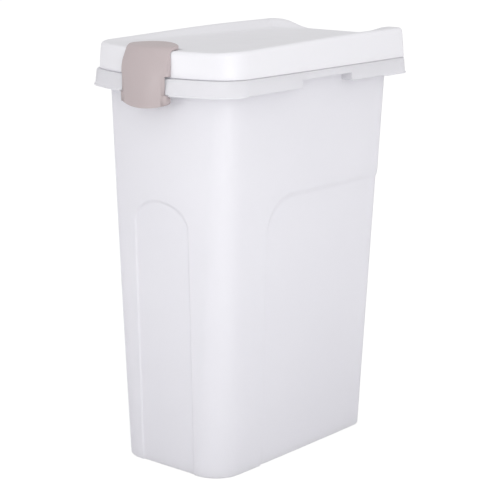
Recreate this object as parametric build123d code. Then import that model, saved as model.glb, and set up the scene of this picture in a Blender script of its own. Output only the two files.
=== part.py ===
from build123d import *
import os
from collections import namedtuple
from math import cos, radians, sin, sqrt

# Pet food storage bin: a tapering tub, a lid hinged at its back, and a clip that hooks the
# lid's front to the tub's rim. Millimetres. +Z is up, the clip faces -Y, and the origin is
# the middle of the flat face that the tub stands on.

# Plan shape of the mouldings: straight back, slightly bowed sides, a bowed front and four
# rounded corners. front and back are distances from the origin.
Plan = namedtuple("Plan", "half_width front back front_bow front_radius back_radius")

# Tub
foot = Plan(82.35, 146.45, 146.45, 0.5, 36.0, 25.0)
mouth = Plan(97.3, 161.65, 167.65, 19.7, 28.4, 23.5)
side_bow = 1.2
under_rim = 460.0
rim_height = 18.2
wall = 2.2
floor = 2.6
foot_round = 2.0

# Recesses that stiffen the tub's walls
recess_depth = 1.8
side_recess_front = 70.5
side_recess_top = 331.0
side_recess_radius = 45.0
arch_half_width = 42.0
arch_spring = 300.0
arch_rise = 30.5

# Rim: a ledge that runs outward from the mouth, with a skirt hanging from its edge
side_overhang = 15.8
front_overhang = 19.9
back_overhang = 15.35
skirt_flare = 1.8
back_flare = 0.4
rim_front_bow = 27.65
rim_front_radius = 39.0
rim_back_radius = 13.5
skirt_wall = 2.0
ledge = 2.0
lip_proud = 1.0
lip_height = 2.6
lip_drop = 1.4
lip_half_gap = 131.0
grip_front = -32.5
grip_back = 62.0
grip_rise = 9.4
web = 2.0

# Lid
lid_gap = 2.2
lid_side_step = 0.3
lid_front_step = 4.25
lid_back_step = 0.2
lid_draft = 2.8
lid_wall = 2.2
lid_edge_round = 5.0
panel_front_rise = 28.7
panel_back_rise = 24.4
rail_front_rise = 29.0
rail_back_rise = 34.4
rail_foot = 29.0
rail_crest = 10.0
horn_foot = 70.0
horn_crest = 23.0
horn_length = 26.0
plug_clearance = 1.0
plug_depth = 8.0
rib = 2.0

# Seal in the channel between the lid's plug rib and its outer rib
seal_inner_gap = 0.3
seal_width = 5.7
seal_height = 5.0
seal_clearance = 0.4

# Rear hinges
hinge_offset = 58.0
hinge_behind_rim = 7.4
hinge_radius = 5.5
hinge_pin_radius = 2.5
hinge_pin_head = 3.8
hinge_pin_head_height = 1.2
lid_opening = 105.0
knuckle_width = 20.0
ear_width = 4.0
running_fit = 0.05
side_play = 0.4

# Clip
clip_half_width = 36.3
clip_waist = 1.1
clip_splay = 2.0
clip_side_depth = 5.5
clip_wall = 2.0
clip_top_rise = 31.8
clip_height = 69.0
clip_bottom_bow = 5.4
clip_bottom_radius = 7.0
clip_front_bow = 4.0
clip_corner_radius = 1.5
clip_top_step = 1.2
clip_bulge = 9.8
clip_top_round = 10.3
clip_round_back = 7.2
clip_round_rise = 0.5
clip_clearance = 0.6
flap_front = 5.0
flap_side_back = 17.5
flap_back = 31.5
flap_corner_radius = 4.0
flap_rear_rise = 3.1
flap_crown = 0.6
flap_wall = 1.8
hook_gap = 0.4
hook_reach = 6.6
hook_ramp = 3.2
hook_height = 11.5
hook_round = 2.5

# Clip pivot, in a pocket under the flap
pivot_back = 22.5
pivot_rise = 28.2
pivot_radius = 2.4
clip_pin_radius = 1.2
lug_inner = 24.6
lug_width = 3.4
barrel_inner = 10.0
pocket_half_width = 31.0
pocket_front = 4.0
pocket_back = 12.2
pocket_back_bow = 5.7
pocket_depth = 9.6
pocket_wall = 2.0


def bow_radius(plan):
    return (plan.half_width ** 2 + plan.front_bow ** 2) / (2 * plan.front_bow)


def inset(plan, distance):
    """The same plan, moved inward by distance all round."""
    half_width = plan.half_width - distance
    radius = bow_radius(plan) - distance
    return Plan(
        half_width,
        plan.front - distance,
        plan.back - distance,
        radius - sqrt(radius ** 2 - half_width ** 2),
        plan.front_radius - distance,
        plan.back_radius - distance,
    )


def blend(start, end, share):
    return Plan(*(a + (b - a) * share for a, b in zip(start, end)))


def plan_face(plan, height=0.0):
    """Face of a plan at a height."""
    front_end = plan.front_bow - plan.front
    middle = (front_end + plan.back) / 2
    half_width = plan.half_width
    edges = [
        ThreePointArc((-half_width, front_end), (0, -plan.front), (half_width, front_end)),
        ThreePointArc((half_width, front_end), (half_width + side_bow, middle), (half_width, plan.back)),
        Line((half_width, plan.back), (-half_width, plan.back)),
        ThreePointArc((-half_width, plan.back), (-half_width - side_bow, middle), (-half_width, front_end)),
    ]
    face = make_face(edges)
    face = fillet(face.vertices().group_by(Axis.Y)[-1], plan.back_radius)
    face = fillet(face.vertices().filter_by(lambda v: abs(v.Y - front_end) < 0.001), plan.front_radius)
    return Pos(0, 0, height) * face


def tapered(low_plan, low, high_plan, high):
    """Solid between two plans."""
    return loft([plan_face(low_plan, low), plan_face(high_plan, high)], ruled=True)


def block(x, y, z):
    """Box between the two values given for each axis."""
    size = (x[1] - x[0], y[1] - y[0], z[1] - z[0])
    return Pos((x[0] + x[1]) / 2, (y[0] + y[1]) / 2, (z[0] + z[1]) / 2) * Box(*size)


def both_sides(solid):
    return solid + mirror(solid, Plane.YZ)


def rod(radius, x_low, x_high, y, z):
    """Round bar along X."""
    return Pos((x_low + x_high) / 2, y, z) * Rot(0, 90, 0) * Cylinder(radius, x_high - x_low)


# Heights and plans worked out from the driving sizes
rim_top = under_rim + rim_height
rim_low_plan = Plan(
    mouth.half_width + side_overhang,
    mouth.front + front_overhang,
    mouth.back + back_overhang,
    rim_front_bow,
    rim_front_radius,
    rim_back_radius,
)
rim_top_plan = rim_low_plan._replace(
    half_width=rim_low_plan.half_width - skirt_flare,
    front=rim_low_plan.front - skirt_flare,
    back=rim_low_plan.back - back_flare,
)
lid_low_plan = rim_top_plan._replace(
    half_width=rim_top_plan.half_width - lid_side_step,
    front=rim_top_plan.front - lid_front_step,
    back=rim_top_plan.back - lid_back_step,
)
lid_low = rim_top + lid_gap
lid_high = lid_low + rail_back_rise
hinge_y = rim_low_plan.back + hinge_behind_rim
hinge_z = rim_top
pivot_y = -lid_low_plan.front + pivot_back
pivot_z = lid_low + pivot_rise
clip_top = lid_low + clip_top_rise
clip_bottom = clip_top - clip_height


def tub_plan(height, distance):
    return inset(blend(foot, mouth, height / under_rim), distance)


def plain_body(distance, low, high):
    """The tub's tapering form without recesses, moved inward by distance."""
    return tapered(tub_plan(low, distance), low, tub_plan(high, distance), high)


def side_recess(grow):
    """Block over both side recesses and the one that joins them round the back."""
    front = -side_recess_front - grow
    top = side_recess_top + grow
    radius = side_recess_radius + grow
    back = 2 * mouth.back
    edges = [
        Line((front, -floor), (front, top - radius)),
        RadiusArc((front, top - radius), (front + radius, top), radius),
        Line((front + radius, top), (back, top)),
        Line((back, top), (back, -floor)),
        Line((back, -floor), (front, -floor)),
    ]
    return extrude(Plane.YZ * make_face(edges), 2 * mouth.half_width, both=True)


def front_recess(grow):
    """Block over the arched recess in the front."""
    half_width = arch_half_width + grow
    face = Pos(0, (arch_spring - floor) / 2) * Rectangle(2 * half_width, arch_spring + floor)
    face += Pos(0, arch_spring) * Ellipse(half_width, arch_rise + grow)
    return extrude(Plane.XZ.offset(foot.front / 2) * face, mouth.front)


def recessed(form, distance, low, high):
    """A body form with the recesses sunk into it, thickened so that the wall stays even."""
    sunk = plain_body(distance + recess_depth, low - floor, high)
    for mask in (side_recess(distance), front_recess(distance)):
        form -= mask - sunk
    return form


def rim_form(distance, top):
    """The rim's outer form, moved inward by distance."""
    return tapered(inset(rim_low_plan, distance), under_rim, inset(rim_top_plan, distance), top)


def rim_webs(rim):
    """Webs at both ends of each finger notch, and a rib across each corner of the skirt."""
    webs = []
    reach = (mouth.half_width, 2 * mouth.half_width)
    for edge in (grip_front - web, grip_back):
        plate = block(reach, (edge, edge + web), (under_rim, rim_top))
        webs.append(plate & rim)
    corners = [
        (-mouth.front + mouth.front_bow + mouth.front_radius / 2, -1, rim_front_radius),
        (mouth.back - mouth.back_radius / 2, 1, rim_back_radius),
    ]
    for y, toward, radius in corners:
        x = mouth.half_width - mouth.back_radius / 2
        plate = block((0, 2 * radius), (-web / 2, web / 2), (under_rim, rim_top))
        webs.append((Pos(x, y, 0) * Rot(0, 0, 45 * toward) * plate) & rim)
    return both_sides(Part() + webs)


def rim_lip():
    """Bead along the skirt's lower edge, left out where hands and the clip go."""
    low = under_rim - lip_drop
    outer = extrude(plan_face(inset(rim_low_plan, -lip_proud), low), lip_height)
    inner = extrude(plan_face(inset(rim_low_plan, skirt_wall), low - 1), lip_height + 2)
    middle = (rim_low_plan.back - rim_low_plan.front) / 2
    reach = (mouth.half_width, 2 * mouth.half_width)
    span = (low - 1, low + lip_height + 1)
    side_gap = block(reach, (middle - lip_half_gap, middle + lip_half_gap), span)
    clip_gap_half = clip_half_width + 2 * clip_clearance
    clip_gap = block((-clip_gap_half, clip_gap_half), (-2 * mouth.front, -mouth.front), span)
    return outer - inner - both_sides(side_gap) - clip_gap


def hinge_ears():
    """Two pairs of ears on the back of the rim, bored for the hinge pins."""
    root_y = rim_low_plan.back - hinge_radius
    low = under_rim + skirt_wall
    profile = make_face(
        Polyline(
            (root_y, hinge_z),
            (hinge_y, hinge_z),
            (hinge_y, hinge_z - hinge_radius),
            (rim_low_plan.back, low),
            (root_y, low),
            (root_y, hinge_z),
        )
    )
    profile += Pos(hinge_y, hinge_z) * Circle(hinge_radius)
    profile -= Pos(hinge_y, hinge_z) * Circle(hinge_pin_radius)
    ears = []
    gap = knuckle_width / 2 + side_play
    for start in (hinge_offset - gap - ear_width, hinge_offset + gap):
        ears.append(extrude(Plane.YZ.offset(start) * profile, ear_width))
    return both_sides(Part() + ears)


def make_tub():
    footed = tapered(tub_plan(0, foot_round), 0, tub_plan(foot_round, 0), foot_round)
    form = footed + plain_body(0, foot_round, rim_top)
    shell = recessed(form, 0, 0, rim_top)
    solid_rim = rim_form(0, rim_top)
    body_core = plain_body(wall / 2, under_rim - floor, rim_top + floor)
    channel = rim_form(skirt_wall, rim_top - ledge) - body_core
    rim = solid_rim - channel
    notch_inner = mouth.half_width + side_overhang / 3
    notch = block(
        (notch_inner, 2 * mouth.half_width),
        (grip_front, grip_back),
        (under_rim - floor, under_rim + grip_rise),
    )
    rim -= both_sides(notch)
    rim += rim_webs(solid_rim - body_core) + rim_lip() + hinge_ears()
    cavity = recessed(plain_body(wall, floor, rim_top + wall), wall, floor, rim_top + wall)
    return shell + rim - cavity


def smooth(share):
    """Eased step from 0 to 1."""
    share = min(max(share, 0.0), 1.0)
    return share * share * (3 - 2 * share)


def lid_height(x, y):
    """Height of the lid's top surface: a dished panel between two rails that rise to the back."""
    front = -lid_low_plan.front
    back = lid_low_plan.back
    share = (back - y) / (back - front)
    panel = panel_back_rise + (panel_front_rise - panel_back_rise) * share ** 2
    rail_share = smooth((y - front * 1.08) / (0.55 * back - front * 1.08))
    crest = rail_front_rise + (rail_back_rise - rail_front_rise) * rail_share
    horn = smooth((y - (back - lid_draft - lid_edge_round - horn_length)) / horn_length)
    foot_inset = rail_foot + (horn_foot - rail_foot) * horn
    crest_inset = rail_crest + (horn_crest - rail_crest) * horn
    inward = lid_low_plan.half_width - abs(x)
    climb = smooth((foot_inset - inward) / (foot_inset - crest_inset))
    return lid_low + panel + (crest - panel) * climb


def lid_top_surface():
    """Smooth face through the lid's top, a little wider than the lid."""
    rows = 31
    columns = 61
    past_edge = 6
    half_width = lid_low_plan.half_width + past_edge
    start = -lid_low_plan.front - past_edge
    length = lid_low_plan.front + lid_low_plan.back + 2 * past_edge
    grid = []
    for row in range(rows):
        y = start + length * (1 - (1 - row / (rows - 1)) ** 1.5)
        line = []
        for column in range(columns):
            x = half_width * (2 * column / (columns - 1) - 1)
            line.append((x, y, lid_height(x, y)))
        grid.append(line)
    return Face.make_surface_from_array_of_points(grid, tol=0.02)


def lid_form(distance, drop, low):
    """The lid's outer form, moved inward by distance and lowered by drop."""
    low_plan = inset(lid_low_plan, distance)
    high = lid_high + lid_edge_round
    high_plan = inset(lid_low_plan, distance + lid_draft)
    sides = tapered(low_plan, low, high_plan, high)
    return sides & (Pos(0, 0, -drop) * under_lid_top)


def rounded_lid_form(clearance, low):
    """The lid's outer form with its top edge rounded, larger by clearance."""
    form = lid_form(-clearance, -clearance, low)
    top_edges = [edge for edge in form.edges() if edge.center().Z > lid_low + rail_back_rise / 2]
    return fillet(top_edges, lid_edge_round + clearance)


def mouth_ring(inner, outer, low, high):
    """Ring that follows the tub's mouth; distances run outward from the mouth's inside edge."""
    mouth_edge = tub_plan(rim_top, wall)
    ring = extrude(plan_face(inset(mouth_edge, -outer), low), high - low)
    return ring - extrude(plan_face(inset(mouth_edge, -inner), low), high - low)


def pocket_form(grow):
    """Block of the pocket under the clip's flap, larger by grow on its sides and floor."""
    half_width = pocket_half_width + grow
    front = pivot_y - pocket_front - grow
    side_back = pivot_y + pocket_back - pocket_back_bow + grow
    back = pivot_y + pocket_back + grow
    edges = [
        Line((half_width, side_back), (half_width, front)),
        Line((half_width, front), (-half_width, front)),
        Line((-half_width, front), (-half_width, side_back)),
        ThreePointArc((-half_width, side_back), (0, back), (half_width, side_back)),
    ]
    low = pivot_z - pocket_depth - grow
    return extrude(Pos(0, 0, low) * make_face(edges), lid_high - low)


def lid_lugs():
    """Two lugs that rise from the pocket's floor and hold the clip's pin."""
    foot_z = pivot_z - pocket_depth - pocket_wall / 2
    profile = Pos(pivot_y, (foot_z + pivot_z) / 2) * Rectangle(2 * pivot_radius, pivot_z - foot_z)
    profile += Pos(pivot_y, pivot_z) * Circle(pivot_radius)
    return both_sides(extrude(Plane.YZ.offset(lug_inner) * profile, lug_width))


def lid_stop_face():
    """Heel of a knuckle, drawn as it lies against the back of the rim with the lid fully open."""
    reach = hinge_behind_rim + back_flare / 2
    return make_face(
        Polyline(
            (0, 0),
            (-hinge_radius, 0),
            (-reach, -hinge_radius / 4),
            (-reach, -hinge_radius),
            (0, -hinge_radius),
            (0, 0),
        )
    )


def lid_knuckles():
    """Knuckles behind the lid that turn on the hinge pins."""
    arm_y = lid_low_plan.back - lid_draft - lid_wall / 2
    arm_low = lid_low
    arm_high = hinge_z + hinge_radius
    middle = ((arm_y + hinge_y) / 2, (arm_low + arm_high) / 2)
    profile = Pos(*middle) * Rectangle(hinge_y - arm_y, arm_high - arm_low)
    profile += Pos(hinge_y, hinge_z) * Circle(hinge_radius)
    profile += Pos(hinge_y, hinge_z) * Rot(0, 0, lid_opening) * lid_stop_face()
    profile -= Pos(hinge_y, hinge_z) * Circle(hinge_pin_radius + running_fit)
    knuckle = extrude(Plane.YZ.offset(hinge_offset - knuckle_width / 2) * profile, knuckle_width)
    return both_sides(knuckle)


def make_lid():
    outer = rounded_lid_form(0, lid_low)
    hollow = lid_form(lid_wall, lid_wall, lid_low)
    seal_top = rim_top + seal_height
    seal_outer = seal_inner_gap + seal_width
    outer_rib = seal_outer + seal_clearance
    over_lid = lid_high + lid_edge_round
    plug = mouth_ring(-plug_clearance - rib, -plug_clearance, rim_top - plug_depth, over_lid)
    seal_rib = mouth_ring(outer_rib, outer_rib + rib, rim_top + lid_gap, over_lid)
    channel_roof = mouth_ring(-plug_clearance - rib, outer_rib + rib, seal_top, seal_top + rib)
    across = (-2 * lid_low_plan.half_width, 2 * lid_low_plan.half_width)
    along = (-2 * lid_low_plan.front, 2 * lid_low_plan.back)
    inside_walls = lid_form(lid_wall / 2, lid_wall / 2, lid_low)
    above = block(across, along, (lid_low, 2 * lid_high)) - inside_walls
    ribs = plug + seal_rib + channel_roof - above
    lid = outer - hollow + ribs
    lid += pocket_form(pocket_wall) & outer
    lid -= pocket_form(0)
    return lid + lid_lugs() + lid_knuckles() - make_clip_pin()


def make_seal():
    return mouth_ring(seal_inner_gap, seal_inner_gap + seal_width, rim_top, rim_top + seal_height)


def make_hinge_pin():
    """Pin of the hinge at +X, with its head on the outside."""
    half_length = knuckle_width / 2 + side_play + ear_width
    pin = rod(hinge_pin_radius, hinge_offset - half_length, hinge_offset + half_length, hinge_y, hinge_z)
    head_start = hinge_offset + half_length
    return pin + rod(hinge_pin_head, head_start, head_start + hinge_pin_head_height, hinge_y, hinge_z)


def clip_section(share, thickness):
    """Plan of the clip's face and splayed sides at a share of the way from its top to its bottom."""
    half_width = clip_half_width - clip_waist * (2 * share - 1) ** 2 - thickness
    half_face = half_width - clip_splay
    front = lid_low_plan.front + clip_top_step + clip_bulge * (1 - (1 - share) ** 3) - thickness
    front_end = -front + clip_front_bow
    side_end = front_end + clip_side_depth
    back = -lid_low_plan.front + flap_side_back - flap_corner_radius
    edges = [
        ThreePointArc((-half_face, front_end), (0, -front), (half_face, front_end)),
        Line((half_face, front_end), (half_width, side_end)),
        Line((half_width, side_end), (half_width, back)),
        Line((half_width, back), (-half_width, back)),
        Line((-half_width, back), (-half_width, side_end)),
        Line((-half_width, side_end), (-half_face, front_end)),
    ]
    face = make_face(edges)
    corners = face.vertices().filter_by(lambda v: abs(v.Y - front_end) < 0.001)
    face = fillet(corners, clip_corner_radius - thickness / 2)
    return Pos(0, 0, clip_top - share * clip_height) * face


def clip_plate(thickness):
    """The clip's plate and sides as a solid that runs a little past its top and bottom."""
    shares = [-0.04, 0.2, 0.4, 0.6, 0.8, 1.04]
    return loft([clip_section(share, thickness) for share in shares])


def clip_outline():
    """Front view of the clip, with its bottom edge bowed down and its corners rounded."""
    half_width = clip_half_width
    corner = clip_bottom + clip_bottom_bow
    high = clip_top + flap_rear_rise
    edges = [
        ThreePointArc((-half_width, corner), (0, clip_bottom), (half_width, corner)),
        Line((half_width, corner), (half_width, high)),
        Line((half_width, high), (-half_width, high)),
        Line((-half_width, high), (-half_width, corner)),
    ]
    face = make_face(edges)
    corners = face.vertices().filter_by(lambda v: abs(v.Y - corner) < 0.001)
    face = fillet(corners, clip_bottom_radius)
    return extrude(Plane.XZ.offset(-pivot_y / 2) * face, 2 * mouth.front)


def flap_form(thickness):
    """Block of the flap in plan, moved inward by thickness."""
    half_width = clip_half_width - clip_waist - thickness
    front_y = -lid_low_plan.front + flap_front
    side_y = -lid_low_plan.front + flap_side_back
    back_y = -lid_low_plan.front + flap_back
    edges = [
        Line((-half_width, front_y), (half_width, front_y)),
        Line((half_width, front_y), (half_width, side_y)),
        ThreePointArc((half_width, side_y), (0, back_y), (-half_width, side_y)),
        Line((-half_width, side_y), (-half_width, front_y)),
    ]
    face = make_face(edges)
    corners = face.vertices().filter_by(lambda v: abs(v.Y - side_y) < 0.001)
    face = fillet(corners, flap_corner_radius)
    return extrude(Pos(0, 0, lid_low) * face, 2 * rail_back_rise)


def under_roof(drop):
    """Everything below the flap's crowned top, which rises to the rear, lowered by drop."""
    slope = flap_rear_rise / flap_back
    low = clip_bottom - floor
    wide = 2 * clip_half_width
    side_drop = 4 * flap_crown
    sections = []
    for behind_front in (-flap_back, 2 * flap_back):
        centre = clip_top + slope * behind_front - drop
        edges = [
            ThreePointArc((-wide, centre - side_drop), (0, centre), (wide, centre - side_drop)),
            Line((wide, centre - side_drop), (wide, low)),
            Line((wide, low), (-wide, low)),
            Line((-wide, low), (-wide, centre - side_drop)),
        ]
        sections.append(Plane.XZ.offset(lid_low_plan.front - behind_front) * make_face(edges))
    return loft(sections, ruled=True)


def under_brow(thickness):
    """Everything behind the round that leads from the clip's face to its roof, moved in by thickness."""
    centre_y = -lid_low_plan.front - clip_top_step + clip_round_back
    roof_z = clip_top + flap_rear_rise / flap_back * (clip_round_back - clip_top_step)
    centre_z = roof_z + clip_round_rise - clip_top_round
    radius = clip_top_round - thickness
    axis_y = centre_y + 2 * clip_half_width
    low = clip_bottom - floor
    arc = []
    for angle in (20, 55, 90):
        arc.append((centre_y - radius * cos(radians(angle)), centre_z + radius * sin(radians(angle))))
    ahead = (arc[0][0] - clip_round_back, arc[0][1] - 2 * clip_round_back)
    behind = (axis_y, arc[2][1] + clip_half_width)
    edges = [
        Line((axis_y, low), (ahead[0], low)),
        Line((ahead[0], low), ahead),
        Line(ahead, arc[0]),
        ThreePointArc(*arc),
        Line(arc[2], behind),
        Line(behind, (axis_y, low)),
    ]
    return revolve(Plane.YZ * make_face(edges), Axis((0, axis_y, 0), (0, 0, 1)), 360)


def clip_hook():
    """Bar along the clip's bottom that curls under the skirt, ramped so that it swings clear."""
    bow_centre = bow_radius(rim_low_plan) - rim_low_plan.front
    face_y = -rim_low_plan.front
    outer_y = face_y - clip_wall
    tip_y = face_y + hook_reach
    top = under_rim - hook_gap
    low = top - hook_height
    profile = make_face(
        Polyline(
            (outer_y, low),
            (tip_y - hook_round, low),
            (tip_y, low + hook_round),
            (tip_y, top - hook_ramp - hook_gap),
            (tip_y - hook_gap, top - hook_ramp),
            (face_y, top),
            (outer_y, top),
            (outer_y, low),
        )
    )
    ring = revolve(Plane.YZ * profile, Axis((0, bow_centre, 0), (0, 0, 1)), 360)
    half_width = clip_half_width - clip_waist
    reach = (-2 * mouth.front, hook_reach - mouth.front)
    return ring & block((-half_width, half_width), reach, (low, top))


def make_clip():
    plate = clip_plate(0) & clip_outline()
    outer = (plate + flap_form(0)) & under_roof(0) & under_brow(0)
    behind_skirts = block(
        (-clip_half_width, clip_half_width),
        (-lid_low_plan.front + flap_side_back, -lid_low_plan.front + 2 * flap_back),
        (lid_low, lid_high),
    )
    inner = clip_plate(clip_wall) + flap_form(flap_wall) + behind_skirts
    inner = inner & under_roof(flap_wall) & under_brow(flap_wall)
    rim_space = inset(rim_low_plan, -clip_clearance)
    clip = outer - inner
    clip -= rounded_lid_form(clip_clearance, rim_top - clip_clearance)
    clip -= extrude(plan_face(rim_space, clip_bottom - floor), lid_low - clip_bottom + floor)
    clip += clip_hook() & plate
    barrel_end = lug_inner - side_play
    stem = block(
        (barrel_inner, barrel_end),
        (pivot_y - pivot_radius / 2, pivot_y + pivot_radius / 2),
        (pivot_z, lid_high),
    )
    barrel = rod(pivot_radius, barrel_inner, barrel_end, pivot_y, pivot_z)
    clip += both_sides(barrel + (stem & under_roof(flap_wall / 2)))
    return clip - rod(clip_pin_radius + running_fit, -clip_half_width, clip_half_width, pivot_y, pivot_z)


def make_clip_pin():
    half_length = lug_inner + lug_width
    return rod(clip_pin_radius, -half_length, half_length, pivot_y, pivot_z)


os.makedirs("parts", exist_ok=True)
under_lid_top = extrude(lid_top_surface(), amount=2 * rail_back_rise, dir=(0, 0, -1))
hinge_pin = make_hinge_pin()
nodes = {
    "tub": make_tub(),
    "lid": make_lid(),
    "lid_seal": make_seal(),
    "clip": make_clip(),
    "clip_pin": make_clip_pin(),
    "right_hinge_pin": hinge_pin,
    "left_hinge_pin": mirror(hinge_pin, Plane.YZ),
}
for name, solid in nodes.items():
    export_step(solid, f"parts/{name}.step")
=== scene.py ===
import math
from collections import namedtuple

import bmesh
import bpy
import numpy as np
from mathutils import Matrix, Vector


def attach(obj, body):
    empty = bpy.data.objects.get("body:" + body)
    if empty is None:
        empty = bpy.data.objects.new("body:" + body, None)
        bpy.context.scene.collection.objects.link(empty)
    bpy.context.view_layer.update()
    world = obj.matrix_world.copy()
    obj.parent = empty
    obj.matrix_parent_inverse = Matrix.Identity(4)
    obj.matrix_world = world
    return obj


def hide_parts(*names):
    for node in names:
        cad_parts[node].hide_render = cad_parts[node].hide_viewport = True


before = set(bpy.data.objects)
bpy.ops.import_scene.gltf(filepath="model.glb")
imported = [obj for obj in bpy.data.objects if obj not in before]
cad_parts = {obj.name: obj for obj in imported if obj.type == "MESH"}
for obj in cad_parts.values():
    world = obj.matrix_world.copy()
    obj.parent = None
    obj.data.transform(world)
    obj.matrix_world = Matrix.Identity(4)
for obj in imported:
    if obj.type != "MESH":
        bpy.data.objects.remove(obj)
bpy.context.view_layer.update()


# Camera and lamps, in metres and degrees, with azimuth 0 at the front

CAMERA_TARGET = Vector((0, 0.00255, 0.250))
CAMERA_AZIMUTH = 40.42
CAMERA_ELEVATION = 13.08
CAMERA_DISTANCE = 2.002
CAMERA_LENS = 116.48
CAMERA_SENSOR = 36
CAMERA_SHIFT = (0.0009, -0.0052)
CAMERA_CLIP = (0.05, 50)

Lamp = namedtuple("Lamp", "name azimuth elevation distance size power")

LAMP_TARGET = Vector((0, 0, 0.25))
LAMPS = (
    Lamp("key", 58.0, 7.0, 1.5, 0.9, 5.2),
    Lamp("fill", -20.0, 8.0, 2.0, 0.5, 4.0),
)


def add_object(name, data):
    """New object in the scene, at the origin."""
    added = bpy.data.objects.new(name, data)
    bpy.context.scene.collection.objects.link(added)
    return added


def aim(item, target, azimuth, elevation, distance):
    """Set a camera or lamp at a distance from the target, looking at it."""
    turn, climb = math.radians(azimuth), math.radians(elevation)
    back = Vector((math.sin(turn) * math.cos(climb), -math.cos(turn) * math.cos(climb), math.sin(climb)))
    item.location = target + back * distance
    item.rotation_mode = "QUATERNION"
    item.rotation_quaternion = (-back).to_track_quat("-Z", "Y")


def make_camera():
    """The photograph's view, as worked out from the object's edges."""
    data = bpy.data.cameras.new("camera")
    data.lens = CAMERA_LENS
    data.sensor_width = CAMERA_SENSOR
    data.shift_x, data.shift_y = CAMERA_SHIFT
    data.clip_start, data.clip_end = CAMERA_CLIP
    camera = add_object("camera", data)
    aim(camera, CAMERA_TARGET, CAMERA_AZIMUTH, CAMERA_ELEVATION, CAMERA_DISTANCE)
    bpy.context.scene.camera = camera


def make_lamp(lamp):
    """Soft square lamp that points at the object."""
    data = bpy.data.lights.new(lamp.name, "AREA")
    data.size = lamp.size
    data.energy = lamp.power
    aim(add_object(lamp.name, data), LAMP_TARGET, lamp.azimuth, lamp.elevation, lamp.distance)


# Plans of the mouldings, in millimetres, as in the CAD model

MM = 0.001

Plan = namedtuple("Plan", "half_width front back front_bow front_radius back_radius")

FOOT = Plan(82.35, 146.45, 146.45, 0.5, 36.0, 25.0)
MOUTH = Plan(97.3, 161.65, 167.65, 19.7, 28.4, 23.5)
RIM_LOW = Plan(113.1, 181.55, 183.0, 27.65, 39.0, 13.5)
RIM_TOP = Plan(111.3, 179.75, 182.6, 27.65, 39.0, 13.5)
LID_LOW = Plan(111.0, 175.5, 182.4, 27.65, 39.0, 13.5)
SIDE_BOW = 1.2
SIDE_X = 60.0


# Tub

WALL = 2.2
FLOOR = 2.6
FOOT_ROUND = 2.0
FLOOR_ROUND = 3.0
UNDER_RIM = 460.0
RIM_Z = 478.2
LEDGE_UNDER = RIM_Z - 2.0
LEDGE_ROUND = 1.0
RIM_ROUND = 1.4
MOUTH_ROUND = 0.6
WALL_TOP_Z = 474.0
SKIRT_WALL = 2.0
SKIRT_EDGE = 0.5

# The skirt's small outward lip, which the sides and the place of the clip don't have
LIP = 1.0
LIP_DROP = 1.4
LIP_FREE_SIDE = (-130.3, 131.7)
LIP_FREE_CLIP = 38.3

NOTCH = (-32.5, 62.0)
NOTCH_Z = 469.4
WEB = 2.0
WEB_BEVEL = 0.25
WEB_LOW_Z = UNDER_RIM + 0.2
WEB_HIGH_Z = LEDGE_UNDER + 0.3
SINK = 0.3
RIB_SINK = 0.4

RECESS_DEPTH = 1.8
RECESS_EDGE = 1.2
RECESS_TOP_EDGE = 4.5
SIDE_RECESS_FRONT = -70.5
SIDE_RECESS_TOP = 331.0
SIDE_RECESS_CORNER = 45.0
FRONT_RECESS_HALF = 42.0
FRONT_RECESS_SHOULDER = 300.0
FRONT_RECESS_RISE = 30.5
FRONT_WALL_Y = -90.0
FAR_OUTSIDE = -10.0


# Lid, whose lower edge hangs lower than the CAD lid's and leaves a fine gap over the rim

LID_Z = 480.4
LID_EDGE_Z = LID_Z - 1.7
LID_WALL = 2.2
LID_ROUND = 5.0
LID_INSIDE_ROUND = 1.2
LID_DRAFT = 2.8
LID_SIDE_HEIGHTS = (LID_Z + 6, LID_Z + 16)
PANEL_RISE = (24.4, 28.7)
RAIL_RISE = (29.0, 34.4)
LID_HIGH = LID_Z + RAIL_RISE[1]

# Where the rails climb along the lid, and their foot and crest from its side, midway and at the back
RAIL_CLIMB = (-1.08 * LID_LOW.front, 0.55 * LID_LOW.back)
RAIL_FOOT = (29.0, 70.0)
RAIL_CREST = (10.0, 23.0)
BACK_RUN = 26.0

# The top's rings shrink towards a short line along its middle, closer together near the edge
SPINE_WIDTH = 0.06
SPINE_LENGTH = 0.98
SPINE_HALF = 85.0
TOP_SHARES = (
    0.012, 0.03, 0.055, 0.085, 0.12, 0.155, 0.19, 0.225, 0.26, 0.3, 0.34, 0.4, 0.5, 0.65, 0.82, 1.0,
)

# The side's top edge takes its height from the top a little inside it
EDGE_READ = (0.97, 0.98)

PLUG = (-3.0, -1.0)
PLUG_DEPTH = 8.0
SEAL = (0.3, 6.0)
SEAL_HEIGHT = 5.0
SEAL_ROUND = 1.2
SEAL_GAP = 0.4
RIB_WALL = 2.0
RIB_FOOT = 2.2


# Hinges and clip, whose axes are given by Y and Z

HINGE = (190.4, 478.2)
HINGE_X = 58.0
HINGE_PIN_RADIUS = 2.5
HINGE_BORE = 2.55
KNUCKLE_RADIUS = 5.5
KNUCKLE_HALF = 10.0
EAR_START = KNUCKLE_HALF + 0.4
EAR_WIDTH = 4.0
EAR_ROOT = 5.5
PIN_HEAD = 1.2
PIN_HEAD_RADIUS = 3.8
PIN_EDGE = 0.3

# The heel of a knuckle grows out of its round over a small turn and is flat where it meets the rim
LID_OPENS = math.radians(105.0)
HEEL_REACH = 7.6
HEEL_CORNER = 9.3
HEEL_STEP = 2.2
HEEL_TURN = 0.18
HEEL_SIDE = 0.05

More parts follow.
